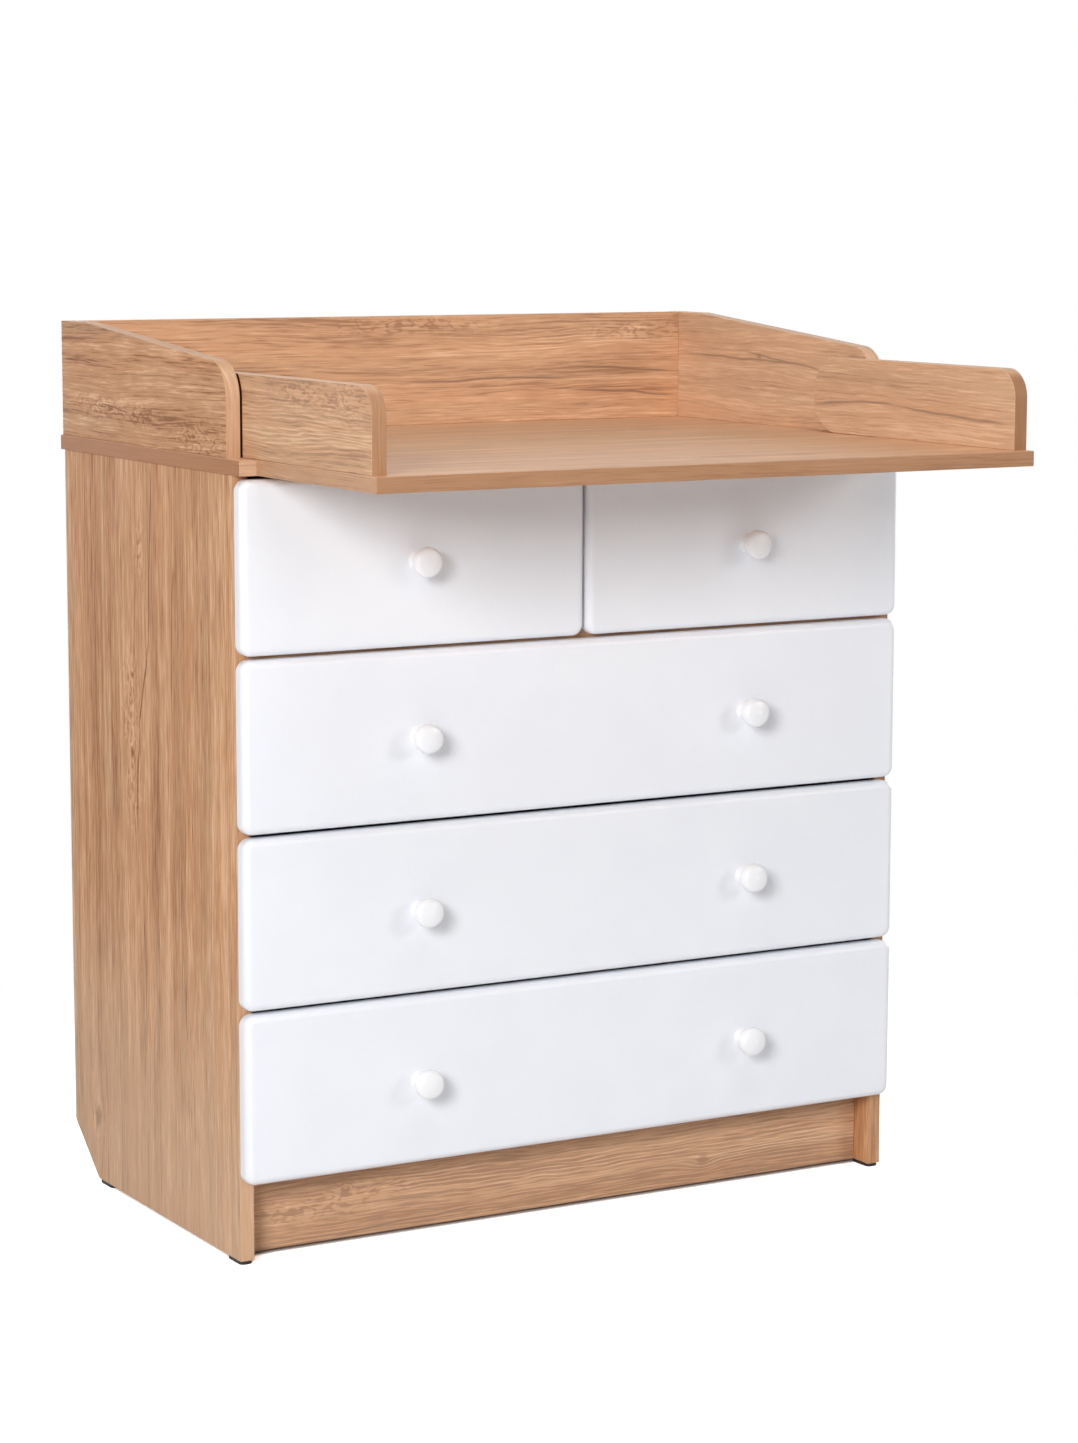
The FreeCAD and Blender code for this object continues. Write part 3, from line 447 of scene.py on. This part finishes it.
def mottled(name, colour, other, roughness, grain, depth, metallic=0.0):
    """A plain material whose colour and roughness vary softly, over a fine bump of the given grain size."""
    s = Shader(name, metallic=metallic)
    point = [s.at[axis] for axis in "xyz"]
    cloud = s.noise([value * 14 for value in point], 3)
    fine = s.noise([value / grain for value in point], 2)
    shade = s.blend(cloud.step(0.3, 0.7) * 0.7 + fine * 0.3, colour, other)
    return s.paint(shade, cloud * 0.08 + fine * 0.06 + roughness - 0.07, fine, depth)


DRAWERS = ("lower_drawer", "middle_drawer", "upper_drawer", "top_left_drawer", "top_right_drawer")


def all_drawers(piece):
    """The names of one piece in each of the drawers."""
    return [f"{drawer}_{piece}" for drawer in DRAWERS]


foil = mottled("white_foil", srgb(240, 242, 247), srgb(237, 239, 245), 0.36, 0.0035, 0.00003)
lacquer = mottled("knob_lacquer", srgb(243, 243, 245), srgb(240, 240, 243), 0.24, 0.004, 0.00002)
melamine = mottled("white_melamine", srgb(236, 236, 233), srgb(230, 230, 227), 0.42, 0.0012, 0.00004)
thin_board = mottled("thin_board", srgb(222, 220, 214), srgb(213, 211, 205), 0.55, 0.0018, 0.00008)
runner_coat = mottled("runner_coat", srgb(226, 226, 223), srgb(219, 219, 216), 0.35, 0.001, 0.00003)
zinc = mottled("zinc_plate", srgb(176, 178, 182), srgb(160, 162, 166), 0.34, 0.0008, 0.00002, metallic=1.0)
black_plastic = mottled("glide_plastic", srgb(34, 34, 35), srgb(26, 26, 27), 0.5, 0.001, 0.00004)
pale_plastic = mottled("bush_plastic", srgb(228, 225, 214), srgb(222, 218, 205), 0.45, 0.001, 0.00003)
beech = mottled("beech", srgb(214, 180, 134), srgb(196, 160, 114), 0.6, 0.0006, 0.0001)

dress(foil, *all_drawers("front"))
dress(lacquer, *all_drawers("knobs"))
dress(melamine, *all_drawers("sides"), *all_drawers("back"))
dress(thin_board, "back_sheet", *all_drawers("bottom"))
dress(runner_coat, "carcass_runners", *all_drawers("slides"))
dress(zinc, "cam_locks", "cam_bolts", "rail_screws", "fold_screws", "pivot_pins", *all_drawers("ball_cages"))
dress(black_plastic, "glides")
dress(pale_plastic, "pivot_bushes")
dress(beech, "dowels")


# --- Fittings ----------------------------------------------------------------------------------


# The outline of a head as shares of its radius and height, from its foot to its flat top.
HEAD_PROFILE = ((1.0, 0.0), (1.0, 0.55), (0.9, 0.85), (0.72, 1.0))
HEAD_SIDES = 24
NAIL_CROWN = 1.15
CROSS_ARM = 0.13
CROSS_TAPER = 0.85
CROSS_FLOOR = 0.3


def add_ring(mesh, place, points):
    """A ring of vertices through points that are given in a head's own axes."""
    return [mesh.verts.new(place @ Vector(point)) for point in points]


def cross_outline(reach, arm):
    """The twelve corners of a cross, counter-clockwise."""
    quarter = ((reach, -arm), (reach, arm), (arm, arm))
    corners = []
    for _ in range(4):
        corners += quarter
        quarter = [(-y, x) for x, y in quarter]
    return corners


def add_cross(mesh, place, top_ring, reach, arm, height):
    """The flat top of a head, with a cross sunk into it."""
    cross = cross_outline(reach, arm)
    lip = add_ring(mesh, place, [(x, y, height) for x, y in cross])
    pit = add_ring(mesh, place, [(x * CROSS_TAPER, y * CROSS_TAPER, height * CROSS_FLOOR) for x, y in cross])
    for n in range(len(cross)):
        mesh.faces.new((lip[n - 1], lip[n], pit[n], pit[n - 1]))
    mesh.faces.new(pit)
    pairs = [(ring[n - 1], ring[n]) for ring in (top_ring, lip) for n in range(len(ring))]
    border = [mesh.edges.get(pair) or mesh.edges.new(pair) for pair in pairs]
    bmesh.ops.triangle_fill(mesh, edges=border, use_beauty=True)


def add_heads(name, body, spots, towards, radius, height, recess):
    """The heads of screws or nails as one piece: a bevelled disc at each spot, looking along towards.

    recess is the reach of a cross recess as a share of the radius, or 0 for a nail's plain dome.
    """
    mesh = bmesh.new()
    turn = Vector(towards).to_track_quat("Z", "Y").to_matrix().to_4x4()
    angles = [2 * math.pi * n / HEAD_SIDES for n in range(HEAD_SIDES)]
    circle = [(math.cos(angle) * radius, math.sin(angle) * radius) for angle in angles]
    for spot in spots:
        place = Matrix.Translation(spot) @ turn
        rings = []
        for share, level in HEAD_PROFILE:
            rings.append(add_ring(mesh, place, [(x * share, y * share, height * level) for x, y in circle]))
        for lower, upper in zip(rings, rings[1:]):
            for n in range(HEAD_SIDES):
                mesh.faces.new((lower[n], lower[n - 1], upper[n - 1], upper[n]))
        top_ring = rings[-1]
        if recess:
            add_cross(mesh, place, top_ring, radius * recess, radius * CROSS_ARM, height)
            continue
        tip = mesh.verts.new(place @ Vector((0, 0, height * NAIL_CROWN)))
        for n in range(HEAD_SIDES):
            mesh.faces.new((top_ring[n - 1], tip, top_ring[n]))
    bmesh.ops.recalc_face_normals(mesh, faces=mesh.faces)
    data = bpy.data.meshes.new(name)
    mesh.to_mesh(data)
    mesh.free()
    data.materials.append(zinc)
    item = bpy.data.objects.new(name, data)
    bpy.context.collection.objects.link(item)
    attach(item, body)


# Heads in metres: radius, height, and the reach of the cross.
SLIDE_SCREW = (0.0034, 0.0011, 0.55)
BACK_SCREW = (0.0045, 0.0006, 0.5)
FRONT_CAM = (0.0075, 0.0005, 0.5)
NAIL = (0.0032, 0.0009, 0)
BOARD = 0.016
RUNNER_SHEET = 0.0012
CAM_DISTANCE = 0.034
SLIDE_SCREW_ROWS = (0.035, 0.13, 0.26, 0.35)
BACK_SCREW_LEVELS = (-0.035, 0.035)
FRONT_CAM_LEVELS = (-0.03, 0.035)

for drawer in DRAWERS:
    low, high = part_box(f"{drawer}_sides")
    middle = (low.z + high.z) / 2
    for side, x, away in (("left", low.x, -1), ("right", high.x, 1)):
        outward = (away, 0, 0)
        inward = (-away, 0, 0)
        slide_screws = [(x + away * RUNNER_SHEET, low.y + y, middle) for y in SLIDE_SCREW_ROWS]
        back_screws = [(x, high.y - BOARD / 2, middle + z) for z in BACK_SCREW_LEVELS]
        front_cams = [(x - away * BOARD, low.y + CAM_DISTANCE, middle + z) for z in FRONT_CAM_LEVELS]
        add_heads(f"{drawer}_slide_screws_{side}", drawer, slide_screws, outward, *SLIDE_SCREW)
        add_heads(f"{drawer}_back_screws_{side}", drawer, back_screws, outward, *BACK_SCREW)
        add_heads(f"{drawer}_front_cams_{side}", drawer, front_cams, inward, *FRONT_CAM)

NAIL_ROWS = 7
NAIL_TOP_MARGIN = 0.012
NAIL_STEP_ACROSS = 0.13
NAIL_STEP_UP = 0.07
_, sheet_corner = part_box("back_sheet")
rear = sheet_corner.y
side_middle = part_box("side_panel_left")[0].x + BOARD / 2
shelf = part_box("divider_shelf")[0].z + BOARD / 2
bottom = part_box("bottom_panel")[0].z + BOARD / 2
row_step = (sheet_corner.z - NAIL_TOP_MARGIN - bottom) / (NAIL_ROWS - 1)
nails = [(x, rear, bottom + row_step * n) for x in (side_middle, -side_middle) for n in range(NAIL_ROWS)]
nails += [(NAIL_STEP_ACROSS * n, rear, z) for n in (-2, -1, 1, 2) for z in (bottom, shelf)]
nails += [(0, rear, z) for z in (bottom, shelf, shelf + NAIL_STEP_UP, shelf + 2 * NAIL_STEP_UP)]
add_heads("back_nails", "carcass", nails, (0, 1, 0), *NAIL)


# --- Light, floor and camera -------------------------------------------------------------------


LAMP_TARGET = (0, 0, 0.5)


def add_light(name, place, size, watts):
    """A square soft lamp that looks at the middle of the dresser."""
    lamp = bpy.data.lights.new(name, "AREA")
    lamp.shape = "SQUARE"
    lamp.size = size
    lamp.energy = watts
    item = bpy.data.objects.new(name, lamp)
    bpy.context.collection.objects.link(item)
    item.location = place
    item.rotation_euler = (Vector(LAMP_TARGET) - Vector(place)).to_track_quat("-Z", "Y").to_euler()


add_light("key", (-3.6, -3.4, 2.2), 1.6, 188)
add_light("fill", (3.2, -4.2, 2.2), 1.6, 56)
add_light("top", (-0.3, -1.2, 3.8), 1.8, 46)
add_light("rear", (-0.5, 4.6, 3.0), 2.0, 40)
add_light("back", (-0.2, 4.8, 1.0), 1.6, 70)
add_light("side", (4.6, 1.2, 1.3), 1.6, 60)

# The world is white where it is seen or mirrored, and lights the object softly.
WHITE = (1, 1, 1, 1)
SOFT_LIGHT = 0.065
world = bpy.data.worlds.new("studio")
bpy.context.scene.world = world
world.use_nodes = True
sky = Formulas(world.node_tree)
background = sky.tree.nodes["Background"]
background.inputs["Color"].default_value = WHITE
sky.feed(background.inputs["Strength"], sky.math("MAXIMUM", *sky.rays()) * (1 - SOFT_LIGHT) + SOFT_LIGHT)


FLOOR_SIZE = 40
PAPER = (0.78, 0.78, 0.78, 1)
# Seen directly, the floor is brighter than paper, so that its shadows stay faint.
BRIGHT_PAPER = (2.7, 2.8, 2.9, 1)
SHADED_PAPER = (0.8, 0.8, 0.8, 1)


def add_floor():
    """A white floor that keeps the object's shadow and melts into the white world further out."""
    bpy.ops.mesh.primitive_grid_add(x_subdivisions=8, y_subdivisions=8, size=FLOOR_SIZE, location=(0, 0, 0))
    floor = bpy.context.object
    floor.name = "floor"
    s = Shader("paper")
    x = s.at["x"]
    y = s.at["y"]
    camera_ray, mirrored = s.rays()
    unseen = s.blend(mirrored, PAPER, WHITE)
    # The floor under the carcass, between the side panels, stays as dark as it is lit.
    below = x.size().step(0.398, 0.39) * (y - 0.115).size().step(0.172, 0.165)
    below_rear = x.size().step(0.374, 0.366) * (y - 0.25).size().step(0.108, 0.098)
    seen = s.blend(s.math("MAXIMUM", below, below_rear), BRIGHT_PAPER, SHADED_PAPER)
    matte = s.node("ShaderNodeBsdfDiffuse")
    s.feed(matte.inputs["Color"], s.blend(camera_ray, unseen, seen))
    glow = s.node("ShaderNodeEmission")
    mix = s.node("ShaderNodeMixShader")
    reach = s.math("SQRT", x * x + y * y)
    s.feed(mix.inputs[0], reach.step(0.6, 1.3) * s.math("MAXIMUM", camera_ray, mirrored))
    s.tree.links.new(matte.outputs[0], mix.inputs[1])
    s.tree.links.new(glow.outputs[0], mix.inputs[2])
    s.tree.links.new(mix.outputs[0], s.tree.nodes["Material Output"].inputs["Surface"])
    floor.data.materials.append(s.material)


add_floor()

CAMERA_PLACE = (-1.9221, -3.36195, 1.085)
CAMERA_TURN = -29.747
CAMERA_DIP = 8.173
CAMERA_ROLL = 0.109
lens = bpy.data.cameras.new("camera")
lens.sensor_width = 36
lens.lens = 90.108
lens.clip_end = 100
camera = bpy.data.objects.new("camera", lens)
bpy.context.collection.objects.link(camera)
turn = Matrix.Rotation(math.radians(CAMERA_TURN), 4, "Z")
tilt = Matrix.Rotation(math.radians(90 - CAMERA_DIP), 4, "X")
roll = Matrix.Rotation(math.radians(CAMERA_ROLL), 4, "Z")
camera.matrix_world = Matrix.Translation(CAMERA_PLACE) @ turn @ tilt @ roll
bpy.context.scene.camera = camera
bpy.context.scene.view_settings.view_transform = "Standard"
